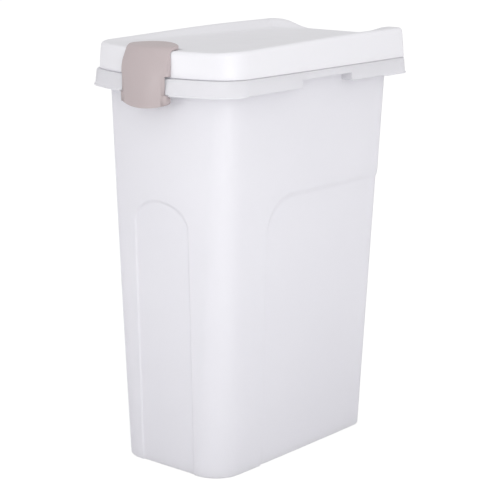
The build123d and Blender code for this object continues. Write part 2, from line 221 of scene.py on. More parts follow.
PIVOT = (-153.0, 508.6)
CLIP_PIN_RADIUS = 1.2
CLIP_PIN_HALF = 28.0
LUG = (24.6, 28.0)
LUG_RADIUS = 2.4
POCKET_HALF = 31.0
POCKET_FRONT = PIVOT[0] - 4.0
POCKET_BACK = PIVOT[0] + 12.2
POCKET_BOW = 5.7
POCKET_Z = PIVOT[1] - 9.6
POCKET_WALL = 2.0
POCKET_WALL_TOP = LID_Z + 26.6


# Plan outlines

def mix(low, high, share):
    return low + (high - low) * share


def ease(share):
    """From 0 to 1 with a level start and end."""
    share = np.clip(share, 0.0, 1.0)
    return share * share * (3 - 2 * share)


def mix_plan(low, high, share):
    return Plan(*(mix(a, b, share) for a, b in zip(low, high)))


def crossing(centre_a, radius_a, centre_b, radius_b):
    """The front right one of the two points where two circles cross."""
    dx, dy = centre_b[0] - centre_a[0], centre_b[1] - centre_a[1]
    gap = math.hypot(dx, dy)
    along = (radius_a * radius_a - radius_b * radius_b + gap * gap) / (2 * gap)
    off = math.sqrt(radius_a * radius_a - along * along)
    middle = (centre_a[0] + along * dx / gap, centre_a[1] + along * dy / gap)
    found = [(middle[0] + s * off * dy / gap, middle[1] - s * off * dx / gap) for s in (1, -1)]
    return max(found, key=lambda p: p[0] - p[1])


# A place on the right half of a plan: a share of the way from start to end on one of its stretches.
# A missing start or end is that of the stretch.
Station = namedtuple("Station", "stretch start end share", defaults=(None, None, 0.0))

CORNERS = ("front_corner", "back_corner")


class Outline:
    """Right half of a plan: bowed front, corner, bowed side, corner and straight back."""

    def __init__(self, plan):
        self.back = plan.back
        self.front_radius = (plan.half_width ** 2 + plan.front_bow ** 2) / (2 * plan.front_bow)
        self.front_centre = (0.0, self.front_radius - plan.front)
        side_start = plan.front_bow - plan.front
        half = (plan.back - side_start) / 2
        self.side_radius = (half ** 2 + SIDE_BOW ** 2) / (2 * SIDE_BOW)
        self.side_centre = (plan.half_width + SIDE_BOW - self.side_radius, (plan.back + side_start) / 2)
        self.corner_radii = (plan.front_radius, plan.back_radius)
        front_corner = crossing(
            self.front_centre, self.front_radius - plan.front_radius,
            self.side_centre, self.side_radius - plan.front_radius,
        )
        corner_y = plan.back - plan.back_radius
        reach = self.side_radius - plan.back_radius
        corner_x = self.side_centre[0] + math.sqrt(reach ** 2 - (corner_y - self.side_centre[1]) ** 2)
        self.corner_centres = (front_corner, (corner_x, corner_y))
        front_share = self.front_radius / (self.front_radius - plan.front_radius)
        self.front_end = (front_corner[0] - self.front_centre[0]) * front_share
        self.side_ends = [
            self.side_centre[1] + (c[1] - self.side_centre[1]) * self.side_radius / (self.side_radius - r)
            for c, r in zip(self.corner_centres, self.corner_radii)
        ]
        self.corner_angles = (
            (self.angle(self.front_centre, front_corner), self.angle(self.side_centre, front_corner)),
            (self.angle(self.side_centre, self.corner_centres[1]), math.pi / 2),
        )

    @staticmethod
    def angle(start, end):
        return math.atan2(end[1] - start[1], end[0] - start[0])

    @staticmethod
    def on_circle(centre, radius, outward):
        return (centre[0] + radius * outward[0], centre[1] + radius * outward[1]), outward

    def at(self, station):
        """Point and outward direction at a station."""
        stretch, start, end, share = station
        if stretch == "front":
            across = mix(start, self.front_end, share) / self.front_radius
            outward = (across, -math.sqrt(1 - across * across))
            return self.on_circle(self.front_centre, self.front_radius, outward)
        if stretch in CORNERS:
            which = CORNERS.index(stretch)
            turn = mix(*self.corner_angles[which], share)
            outward = (math.cos(turn), math.sin(turn))
            return self.on_circle(self.corner_centres[which], self.corner_radii[which], outward)
        if stretch == "side":
            start = self.side_ends[0] if start is None else start
            end = self.side_ends[1] if end is None else end
            along = (mix(start, end, share) - self.side_centre[1]) / self.side_radius
            outward = (math.sqrt(1 - along * along), along)
            return self.on_circle(self.side_centre, self.side_radius, outward)
        return (self.corner_centres[1][0] * (1 - share), self.back), (0.0, 1.0)


def spaced(start, stop, step):
    """Even places from start up to stop, without stop itself."""
    count = max(1, round((stop - start) / step))
    return [start + (stop - start) * i / count for i in range(count)]


# How far apart the stations are, and the stretches of front and side where they lie closer
FINE, COARSE = 1.0, 1.7
CLOSE_FRONT = (37.0, 46.0)
CLOSE_SIDE = (-76.0, -66.0)
MIDDLE_SIDE_END = -20.0
FAR_SIDE_END = 100.0

# A notch's end is a step between two stations this far before and after it
NOTCH_STEP = 0.04


def right_half(step):
    """Stations from the middle of the front to the middle of the back."""

    def shares(count):
        count = round(count / step)
        return [(i + 1) / count for i in range(count)]

    xs = spaced(0.0, CLOSE_FRONT[0], 1.5 * step) + spaced(*CLOSE_FRONT, 0.7 * step) + [CLOSE_FRONT[1]]
    ys = spaced(*CLOSE_SIDE, 0.7 * step)
    ys += spaced(CLOSE_SIDE[1], MIDDLE_SIDE_END, 1.3 * step)
    ys += spaced(MIDDLE_SIDE_END, FAR_SIDE_END, 5.0 * step) + [FAR_SIDE_END]
    ys += [end + gap for end in NOTCH for gap in (-NOTCH_STEP, NOTCH_STEP)]
    made = [Station("front", x) for x in xs]
    made += [Station("front", CLOSE_FRONT[1], share=share) for share in shares(10)]
    made += [Station("front_corner", share=share) for share in shares(22)]
    made += [Station("side", end=CLOSE_SIDE[0], share=share) for share in shares(10)[:-1]]
    made += [Station("side", y) for y in sorted(ys)]
    made += [Station("side", FAR_SIDE_END, share=share) for share in shares(10)]
    made += [Station("back_corner", share=share) for share in shares(14)]
    made += [Station("back", share=share) for share in shares(16)]
    return made


def plan_ring(plan, stations):
    """Points and outward directions all round a plan."""
    outline = Outline(plan)
    right = [outline.at(station) for station in stations]
    left = [((-p[0], p[1]), (-n[0], n[1])) for p, n in reversed(right[1:-1])]
    points, outward = zip(*(right + left))
    return np.array(points), np.array(outward)


class PlanStack:
    """Rings of a wall that runs from one plan to another, each worked out once."""

    def __init__(self, low, high, low_z, high_z, stations):
        self.plans = (low, high)
        self.heights = (low_z, high_z)
        self.stations = stations
        self.kept = {}

    def ring(self, z, inward=0.0):
        key = round(z, 4)
        if key not in self.kept:
            share = (z - self.heights[0]) / (self.heights[1] - self.heights[0])
            self.kept[key] = plan_ring(mix_plan(*self.plans, share), self.stations)
        points, outward = self.kept[key]
        return points - outward * np.asarray(inward, float).reshape(-1, 1)


def quarter(radius, steps, start_z, up=True):
    """Inward steps and heights round a quarter circle, from a wall onto a face."""
    made = []
    for i in range(steps + 1):
        angle = math.pi / 2 * i / steps
        rise = radius * math.sin(angle)
        made.append((radius * (1 - math.cos(angle)), start_z + (rise if up else -rise)))
    return made


# Mesh of one piece

class Shell:
    """Collects the points and faces of a piece, in millimetres."""

    def __init__(self):
        self.points = []
        self.faces = []

    def stack(self, rows, closed=False):
        """Skin over rings of points, each given with its height or heights."""
        loops = []
        for ring, z in rows:
            start = len(self.points)
            heights = np.broadcast_to(np.asarray(z, float), (len(ring),))
            self.points += [(p[0], p[1], height) for p, height in zip(ring, heights)]
            loops.append(list(range(start, start + len(ring))))
        for low, high in zip(loops, loops[1:] + (loops[:1] if closed else [])):
            for i in range(len(low)):
                j = (i + 1) % len(low)
                self.faces.append((low[i], low[j], high[j], high[i]))
        return loops

    def cap(self, loop, up):
        self.faces.append(tuple(loop) if up else tuple(reversed(loop)))

    def prism(self, profile, axis, low, high, bevel=0.3):
        """Closed prism of a profile along an axis, with small bevelled edges."""
        bm = bmesh.new()
        ends = []
        for along in (low, high):
            corners = [list(p) for p in profile]
            for corner in corners:
                corner.insert("XYZ".index(axis), along)
            ends.append([bm.verts.new(corner) for corner in corners])
        bm.faces.new(ends[0])
        bm.faces.new(list(reversed(ends[1])))
        for i in range(len(profile)):
            j = (i + 1) % len(profile)
            bm.faces.new((ends[0][j], ends[0][i], ends[1][i], ends[1][j]))
        bmesh.ops.recalc_face_normals(bm, faces=bm.faces)
        if bevel:
            bmesh.ops.bevel(
                bm, geom=list(bm.edges), offset=bevel, segments=2, profile=0.5, affect="EDGES",
                clamp_overlap=True,
            )
        self.take(bm)

    def turned(self, centre, stops, steps, closed=False):
        """Skin turned round a line along X. A stop is a place on it and a radius, or one for each step."""
        bm = bmesh.new()
        turn = [2 * math.pi * i / steps for i in range(steps)]
        loops = []
        for x, radius in stops:
            radii = np.broadcast_to(radius, (steps,))
            loops.append([
                bm.verts.new((x, centre[0] + r * math.cos(a), centre[1] + r * math.sin(a)))
                for a, r in zip(turn, radii)
            ])
        for first, second in zip(loops, loops[1:] + (loops[:1] if closed else [])):
            for i in range(steps):
                j = (i + 1) % steps
                bm.faces.new((first[i], first[j], second[j], second[i]))
        if not closed:
            bm.faces.new(loops[0])
            bm.faces.new(list(reversed(loops[-1])))
        bmesh.ops.recalc_face_normals(bm, faces=bm.faces)
        self.take(bm)

    def tube(self, centre, radius, bore, low, high, steps=48):
        """Tube along X. The radius may be one for each step round it."""
        soft = radius - PIN_EDGE
        outside = [(low, soft), (low + PIN_EDGE, radius), (high - PIN_EDGE, radius), (high, soft)]
        self.turned(centre, outside + [(high, bore), (low, bore)], steps, closed=True)

    def take(self, bm):
        start = len(self.points)
        bm.verts.index_update()
        self.points += [tuple(v.co) for v in bm.verts]
        self.faces += [tuple(start + v.index for v in f.verts) for f in bm.faces]
        bm.free()

    def make(self, name, angle=35.0):
        """The piece's object, smooth where its faces meet at less than the angle."""
        mesh = bpy.data.meshes.new(name)
        mesh.from_pydata([(x * MM, y * MM, z * MM) for x, y, z in self.points], [], self.faces)
        mesh.update()
        bm = bmesh.new()
        bm.from_mesh(mesh)
        bmesh.ops.recalc_face_normals(bm, faces=bm.faces)
        bm.to_mesh(mesh)
        bm.free()
        mesh.shade_smooth()
        mesh.set_sharp_from_angle(angle=math.radians(angle))
        return add_object(name, mesh)


def apply_modifiers(target):
    graph = bpy.context.evaluated_depsgraph_get()
    done = bpy.data.meshes.new_from_object(target.evaluated_get(graph))
    target.modifiers.clear()
    target.data = done


# Tub pieces

# Marks the tub's rim, whose colour the tub's material darkens as painted shade
RIM_SHADE_ATTRIBUTE = "rim"

# Heights between which the wall's rings lie closer, for the tops of the recesses
CLOSE_Z = (286.0, 336.0)


def recess(points, z, grow):
    """How deep the wall is sunk at a height, with soft edges to the recesses."""
    x, y = points.T
    corner = SIDE_RECESS_CORNER + grow
    inside_y, inside_z = y - SIDE_RECESS_FRONT + grow, SIDE_RECESS_TOP + grow - z
    reach = np.hypot(corner - inside_y, corner - inside_z)
    round_off = (inside_y < corner) & (inside_z < corner)
    side = np.where(round_off, corner - reach, np.minimum(inside_y, inside_z))
    upward = np.where(round_off, (corner - inside_z) / np.maximum(reach, 1e-6), inside_z < inside_y)
    half, rise = FRONT_RECESS_HALF + grow, FRONT_RECESS_RISE + grow
    if z <= FRONT_RECESS_SHOULDER:
        front = half - np.abs(x)
    else:
        u, v = x / half, (z - FRONT_RECESS_SHOULDER) / rise
        k = np.sqrt(u * u + v * v) + 1e-6
        front = (1 - k) / (np.sqrt((u / half) ** 2 + (v / rise) ** 2) / k)
    front = np.where(y < FRONT_WALL_Y, front, FAR_OUTSIDE)
    side_edge = mix(RECESS_EDGE, RECESS_TOP_EDGE, upward)
    side_share = ease((side + side_edge) / (2 * side_edge))
    front_share = ease((front + RECESS_EDGE) / (2 * RECESS_EDGE))
    return RECESS_DEPTH * np.maximum(side_share, front_share)


class TubRings:
    """Rings of the tub's wall and of its rim's skirt."""

    def __init__(self):
        self.stations = right_half(FINE)
        self.walls = PlanStack(FOOT, MOUTH, 0.0, UNDER_RIM, self.stations)
        self.rim = PlanStack(RIM_LOW, RIM_TOP, UNDER_RIM, RIM_Z, self.stations)
        x, y = self.rim.ring(UNDER_RIM).T
        in_notch = (np.abs(x) > SIDE_X) & (y > NOTCH[0]) & (y < NOTCH[1])
        along_side = (y > LIP_FREE_SIDE[0]) & (y < LIP_FREE_SIDE[1])
        at_clip = (y < 0) & (np.abs(x) < LIP_FREE_CLIP)
        has_lip = ~along_side & ~at_clip
        self.lip = np.where(has_lip, LIP, 0.0)
        self.bottom = np.where(in_notch, NOTCH_Z, UNDER_RIM - LIP_DROP * has_lip)

    def wall(self, z, inward, grow=0.0):
        """Ring of the wall, sunk at its recesses, which may be grown for the wall's inside."""
        return self.walls.ring(z, inward + recess(self.walls.ring(z), z, grow))

    def skirt(self, z, inward):
        """Ring and heights of the skirt. Both may differ from station to station."""
        z = np.broadcast_to(np.asarray(z, float), self.lip.shape)
        share = np.clip((z - UNDER_RIM) / (RIM_Z - UNDER_RIM), 0, 1).reshape(-1, 1)
        return self.rim.ring(UNDER_RIM, inward) * (1 - share) + self.rim.ring(RIM_Z, inward) * share, z


def wall_heights():
    low, high = CLOSE_Z
    return spaced(FOOT_ROUND, low, 9.0) + spaced(low, high, 1.25) + spaced(high, WALL_TOP_Z, 11.0)


def outside_rows(rings):
    """From the foot up the outside of the wall to the rim."""
    foot = reversed(quarter(FOOT_ROUND, 4, FOOT_ROUND, up=False))
    rows = [(rings.wall(z, inward), z) for inward, z in foot]
    rows += [(rings.wall(z, 0.0), z) for z in wall_heights()[1:]]
    ledge = quarter(LEDGE_ROUND, 3, LEDGE_UNDER - LEDGE_ROUND)
    rows += [(rings.walls.ring(z, -inward), z) for inward, z in ledge]
    return rows


def skirt_rows(rings):
    """From the ledge down the inside of the skirt, round its edge and up to the top of the rim."""
    drops = ((0.0, 0.8), (0.25, 0.2), (0.8, 0.0))
    rows = [rings.skirt(LEDGE_UNDER - drop, SKIRT_WALL + inward) for drop, inward in drops]
    soft = SKIRT_EDGE * 0.3
    # Height over the lower edge, inward step, and share of the lip
    profile = (
        (SKIRT_EDGE, SKIRT_WALL, 0.0), (soft, SKIRT_WALL - soft, 0.0), (0.0, SKIRT_WALL - SKIRT_EDGE, 0.0),
        (0.0, SKIRT_EDGE, 1.0), (soft, soft, 1.0), (SKIRT_EDGE, 0.0, 1.0),
        (2.0, 0.0, 1.0), (2.45, 0.0, 0.7), (2.6, 0.0, 0.15), (3.0, 0.0, 0.0),
    )
    rows += [rings.skirt(rings.bottom + up, inward - rings.lip * share) for up, inward, share in profile]
    rows.append(rings.skirt(np.maximum(rings.bottom + 3.2, WALL_TOP_Z), 0.0))
    rows += [rings.skirt(z, inward) for inward, z in quarter(RIM_ROUND, 5, RIM_Z - RIM_ROUND)]
    return rows


def inside_rows(rings):
    """From the mouth's edge down the inside of the wall to the floor."""
    edge = reversed(quarter(MOUTH_ROUND, 3, RIM_Z - MOUTH_ROUND))
    rows = [(rings.walls.ring(z, WALL - inward), z) for inward, z in edge]
    above_floor = [z for z in reversed(wall_heights()) if z > 2 * FLOOR_ROUND]
    rows += [(rings.wall(z, WALL, WALL), z) for z in above_floor]
    foot = quarter(FLOOR_ROUND, 4, FLOOR + FLOOR_ROUND, up=False)
    rows += [(rings.wall(z, WALL + inward, WALL), z) for inward, z in foot]
    return rows


def add_notch_webs(shell, rings):
    """Webs from the wall to the skirt at the ends of both finger notches."""
    heights = (UNDER_RIM, LEDGE_UNDER)

    def side_x(ring, y):
        near = np.argmin(np.where(ring[:, 0] > SIDE_X, np.abs(ring[:, 1] - y), np.inf))
        return ring[near, 0]

    for start in (NOTCH[0] - WEB, NOTCH[1]):
        inner = [side_x(rings.walls.ring(z), start) - SINK for z in heights]
        outer = [side_x(rings.skirt(z, SKIRT_WALL)[0], start) + SINK for z in heights]
        for side in (1, -1):
            profile = [
                (side * inner[0], WEB_LOW_Z), (side * outer[0], WEB_LOW_Z),
                (side * outer[1], WEB_HIGH_Z), (side * inner[1], WEB_HIGH_Z),
            ]
            shell.prism(profile, "Y", start, start + WEB, WEB_BEVEL)


def add_corner_ribs(shell, rings):
    """Ribs from the wall to the skirt in the middle of each corner."""
    walls, skirt = rings.walls.ring(UNDER_RIM), rings.skirt(UNDER_RIM, SKIRT_WALL)[0]
    for corner in CORNERS:
        places = [i for i, station in enumerate(rings.stations) if station.stretch == corner]
        middle = places[len(places) // 2]
        inner, outer = walls[middle], skirt[middle]
        run = (outer - inner) / np.linalg.norm(outer - inner)
        across = np.array((-run[1], run[0])) * WEB / 2
        inner, outer = inner - run * RIB_SINK, outer + run * SINK
        profile = (inner - across, outer - across, outer + across, inner + across)
        for side in (1, -1):
            shell.prism([(side * p[0], p[1]) for p in profile], "Z", WEB_LOW_Z, WEB_HIGH_Z, WEB_BEVEL)


def add_hinge_ears(shell):
    """Ears with gussets on both sides of each knuckle."""
    hinge_y, hinge_z = HINGE
    root_y = RIM_LOW.back - EAR_ROOT
    gusset = [
        (root_y, hinge_z - 0.05), (hinge_y - 3.0, hinge_z - 0.05), (hinge_y - 2.0, hinge_z - 4.8),
        (RIM_LOW.back, UNDER_RIM + 2.0), (root_y, UNDER_RIM + 2.0),
    ]
    for side in (1, -1):
        for start in (HINGE_X - EAR_START - EAR_WIDTH, HINGE_X + EAR_START):
            low, high = sorted((side * start, side * (start + EAR_WIDTH)))
            shell.prism(gusset, "X", low, high)
            shell.tube(HINGE, KNUCKLE_RADIUS, HINGE_PIN_RADIUS, low, high)


def make_tub():
    """Wall, rim, webs, ribs and ears, with all but the wall marked as rim, where the material paints shade
    that darkens it.
    """
    rings = TubRings()
    shell = Shell()
    outside, skirt = outside_rows(rings), skirt_rows(rings)
    loops = shell.stack(outside + skirt + inside_rows(rings))
    shell.cap(loops[0], up=False)
    shell.cap(loops[-1], up=True)
    add_notch_webs(shell, rings)
    add_corner_ribs(shell, rings)
    add_hinge_ears(shell)
    tub = shell.make("tub_body")
    rim_shade_mask = np.zeros(len(shell.points))
    rim_shade_mask[loops[len(outside)][0]:loops[len(outside) + len(skirt)][0]] = 1.0
    rim_shade_mask[loops[-1][-1] + 1:] = 1.0
    tub.data.attributes.new(RIM_SHADE_ATTRIBUTE, "FLOAT", "POINT").data.foreach_set("value", rim_shade_mask)
    return tub


# Lid pieces

def lid_height(x, y):
    """Height of the lid's top: a dished panel between two rails that rise to the back."""
    front, back = -LID_LOW.front, LID_LOW.back
    panel = mix(*PANEL_RISE, ((back - y) / (back - front)) ** 2)
    crest = mix(*RAIL_RISE, ease((y - RAIL_CLIMB[0]) / (RAIL_CLIMB[1] - RAIL_CLIMB[0])))
    near_back = ease((y - (back - LID_DRAFT - LID_ROUND - BACK_RUN)) / BACK_RUN)
    foot_in = mix(*RAIL_FOOT, near_back)
    crest_in = mix(*RAIL_CREST, near_back)
    inward = LID_LOW.half_width - np.abs(x)
    climb = ease((foot_in - inward) / (foot_in - crest_in))
    return LID_Z + panel + (crest - panel) * climb


def side_inset(z):
    """How far the lid's side leans in at a height."""
    return LID_DRAFT * (z - LID_Z) / (LID_HIGH + LID_ROUND - LID_Z)


class LidRings:
    """Rings of the lid's side and top."""

    def __init__(self):
        self.base, self.outward = plan_ring(LID_LOW, right_half(COARSE))

    def at(self, inward):
        return self.base - self.outward * np.asarray(inward, float).reshape(-1, 1)

    def top(self, inset, drop, radius):
        """Rows from the round of the top edge to the middle of the lid."""
        rows = []
        for inward, rise in quarter(radius, 6, -radius):
            ring = self.at(inset + inward)
            rows.append((ring, lid_height(*ring.T) - drop + rise))
        edge = self.at(inset + radius)
        spine_y = np.clip(edge[:, 1], -SPINE_HALF, SPINE_HALF) * SPINE_LENGTH
        spine = np.stack([edge[:, 0] * SPINE_WIDTH, spine_y], axis=1)
        for share in TOP_SHARES:
            ring = edge * (1 - share) + spine * share
            rows.append((ring, lid_height(*ring.T) - drop))
        return rows


def pocket(grow, low, high, name):
    """Block with a bowed back round the clip's pin."""
    half = POCKET_HALF + grow
    back = POCKET_BACK + grow
    steps = 16
    profile = [(-half, POCKET_FRONT - grow), (half, POCKET_FRONT - grow)]
    for i in range(steps + 1):
        x = half * (1 - 2 * i / steps)
        profile.append((x, back - POCKET_BOW * (x / half) ** 2))
    block = Shell()
    block.prism(profile, "Z", low, high, 0)
    return block.make(name)


def make_lid():
    """Hollow lid with the pocket that the clip's flap swings in."""
    rings = LidRings()
    edge_height = lid_height(*(rings.base * EDGE_READ).T)
    low, high = LID_SIDE_HEIGHTS
    rows = list(reversed(rings.top(side_inset(edge_height) + LID_WALL, LID_WALL, LID_INSIDE_ROUND)))
    profile = (
        (LID_WALL + side_inset(low), low), (LID_WALL, LID_EDGE_Z + 0.4), (LID_WALL - 0.4, LID_EDGE_Z),
        (0.6, LID_EDGE_Z), (0.2, LID_EDGE_Z + 0.15), (0.0, LID_EDGE_Z + 0.6),
        (side_inset(low), low), (side_inset(high), high),
    )
    rows += [(rings.at(inward), z) for inward, z in profile]
    rows += rings.top(side_inset(edge_height), 0.0, LID_ROUND)
    shell = Shell()
    loops = shell.stack(rows)
    shell.cap(loops[0], up=False)
    shell.cap(loops[-1], up=True)
    lid = shell.make("lid_body", 40.0)
    for kind, cutter in (
        ("UNION", pocket(POCKET_WALL, POCKET_Z - POCKET_WALL, POCKET_WALL_TOP, "pocket_wall")),
        ("DIFFERENCE", pocket(0.0, POCKET_Z, LID_HIGH + 10, "pocket_space")),
    ):
        cut = lid.modifiers.new(kind.lower(), "BOOLEAN")
        cut.operation = kind
        cut.solver = "EXACT"
        cut.object = cutter
        apply_modifiers(lid)
        bpy.data.objects.remove(cutter)
    return lid


def mouth_ring(shell, inner, outer, low, high=None, soft=0.4):
    """Ring that follows the mouth's inside edge. Without high it runs up into the lid's wall."""
    base, outward = plan_ring(mix_plan(FOOT, MOUTH, RIM_Z / UNDER_RIM), right_half(COARSE))
    rows = []
    for offset, z in (
        (inner, None), (inner, low + soft), (inner + 0.3 * soft, low + 0.3 * soft), (inner + soft, low),
        (outer - soft, low), (outer - 0.3 * soft, low + 0.3 * soft), (outer, low + soft), (outer, None),
    ):
        ring = base + outward * (offset - WALL)
        top = lid_height(*ring.T) - LID_WALL * 0.6 if high is None else high
        rows.append((ring, top if z is None else z))
    shell.stack(rows, closed=True)


def make_seal():
    """Soft ring with rounded lower edges."""
    shell = Shell()
    mouth_ring(shell, *SEAL, RIM_Z, RIM_Z + SEAL_HEIGHT, soft=SEAL_ROUND)
    return shell.make("seal_ring", 50.0)


def heel_radius(angle):
    """Outer radius of a knuckle: round, with the heel that stops the lid when open."""
    opened = angle - LID_OPENS
    across, up = math.cos(opened), math.sin(opened)
    if across >= -HEEL_SIDE or up >= 0:
        return KNUCKLE_RADIUS
    growing = KNUCKLE_RADIUS + HEEL_STEP * min(1.0, -up / HEEL_TURN)
    limit = growing if up > -HEEL_TURN else HEEL_CORNER
    return max(KNUCKLE_RADIUS, min(HEEL_REACH / -across, KNUCKLE_RADIUS / -up, limit))


def add_knuckles(shell):
    """Knuckles on the hinge pins, each on an arm from the lid's back."""
    hinge_y, hinge_z = HINGE
    arm_y = LID_LOW.back - LID_DRAFT - 1.1
    arm = [
        (arm_y, LID_Z + 0.05), (hinge_y - 4.0, LID_Z + 0.05), (hinge_y - 1.0, hinge_z + 5.3),
        (arm_y, hinge_z + 5.5),
    ]
    steps = 96
    radii = np.array([heel_radius(2 * math.pi * i / steps) for i in range(steps)])
    for side in (1, -1):
        low, high = sorted((side * (HINGE_X - KNUCKLE_HALF), side * (HINGE_X + KNUCKLE_HALF)))
        shell.prism(arm, "X", low, high)
        shell.tube(HINGE, radii, HINGE_BORE, low, high, steps)


def add_lugs(shell):
    """Lugs in the pocket that hold the clip's pin."""
    pin_y, pin_z = PIVOT
    foot_z = POCKET_Z - 0.6
    post = [
        (pin_y - 2.4, foot_z), (pin_y + 2.4, foot_z), (pin_y + 2.2, pin_z - 1.3), (pin_y - 2.2, pin_z - 1.3),
    ]
    for side in (1, -1):
        low, high = sorted((side * LUG[0], side * LUG[1]))
        shell.prism(post, "X", low, high, 0.25)
        shell.tube(PIVOT, LUG_RADIUS, CLIP_PIN_RADIUS, low, high)


def make_lid_ribs():
    """Everything under the lid and behind it: plug, seal channel, lugs and knuckles."""
    shell = Shell()
    seal_top = RIM_Z + SEAL_HEIGHT
    channel = SEAL[1] + SEAL_GAP
    mouth_ring(shell, *PLUG, RIM_Z - PLUG_DEPTH)
    mouth_ring(shell, channel, channel + RIB_WALL, RIM_Z + RIB_FOOT)
    mouth_ring(shell, PLUG[0], channel + RIB_WALL, seal_top, seal_top + RIB_WALL)
    add_knuckles(shell)
    add_lugs(shell)
    return shell.make("lid_ribs")


# Clip and pins

CLIP_WELD = 0.00002
CLIP_CREASE = math.radians(30.0)


def make_clip():
    """The CAD clip's own mesh, whose edges are round already, shaded smooth between its creases."""
    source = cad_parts["clip"]
    clip = source.copy()
    clip.name = "clip_body"
    clip.data = source.data.copy()
    clip.parent = None
    clip.matrix_world = Matrix.Identity(4)
    bpy.context.scene.collection.objects.link(clip)
    clip.modifiers.new("weld", "WELD").merge_threshold = CLIP_WELD
    apply_modifiers(clip)
    clip.data.shade_smooth()
    clip.data.set_sharp_from_angle(angle=CLIP_CREASE)
    return clip


def make_pin(name, centre, stops):
    """Round pin whose stops give its radius along X."""
    shell = Shell()
    shell.turned(centre, stops, 40)
    return shell.make(name, 30.0)


def make_clip_pin():
    radius, end = CLIP_PIN_RADIUS, CLIP_PIN_HALF
    stops = [
        (-end, radius - PIN_EDGE), (-end + PIN_EDGE, radius),
        (end - PIN_EDGE, radius), (end, radius - PIN_EDGE),
    ]
    return make_pin("clip_pin_rod", PIVOT, stops)


def make_hinge_pin(name, side):
    """Pin through two ears and a knuckle, with its head on the outside."""
    radius, head = HINGE_PIN_RADIUS, PIN_HEAD_RADIUS
    low = HINGE_X - EAR_START - EAR_WIDTH
    high = HINGE_X + EAR_START + EAR_WIDTH + PIN_HEAD
    stops = [
        (low, radius - PIN_EDGE), (low + PIN_EDGE, radius), (high - PIN_HEAD, radius),
        (high - PIN_HEAD, head - 0.2), (high - PIN_HEAD + 0.2, head), (high - 0.4, head), (high, head - 0.5),
    ]
    if side < 0:
        stops = [(-x, r) for x, r in reversed(stops)]
    return make_pin(name, HINGE, stops)


# Materials

DRIFT_SCALE = 9.0
SMUDGE_SCALE = 28.0
SMUDGE_LEVELS = (0.3, 0.7)
GLOSS_SPREAD = (0.05, 0.07)
COLOUR_SPREAD = 0.015
GRAIN_STRENGTH = 0.4
PLASTIC_IOR = 1.49
WHITE = (1, 1, 1, 1)

# Sockets of a Mix node that mixes colours
MIX_LOW, MIX_HIGH, MIX_RESULT = 6, 7, 2


class Nodes:
    """A short way to build the node tree of a material or world."""

    def __init__(self, owner):
        owner.use_nodes = True
        self.tree = owner.node_tree
        self.tree.nodes.clear()

    def add(self, kind, settings=None, inputs=None):
        node = self.tree.nodes.new(kind)
        for key, value in (settings or {}).items():
            setattr(node, key, value)
        for key, value in (inputs or {}).items():
            self.put(node, key, value)
        return node

    def put(self, node, key, value):
        socket = node.inputs[key]
        if isinstance(value, bpy.types.NodeSocket):
            self.tree.links.new(value, socket)
        else:
            socket.default_value = value

    def mixed(self, share, first, second):
        """Two shaders mixed."""
        return self.add("ShaderNodeMixShader", inputs={0: share, 1: first, 2: second}).outputs[0]

    def is_any(self, *rays):
        """1 for the given kinds of ray and 0 for the others."""
        path = self.add("ShaderNodeLightPath")
        found = path.outputs[rays[0]]
        for ray in rays[1:]:
            both = self.add("ShaderNodeMath", {"operation": "MAXIMUM"}, {0: found, 1: path.outputs[ray]})
            found = both.outputs[0]
        return found


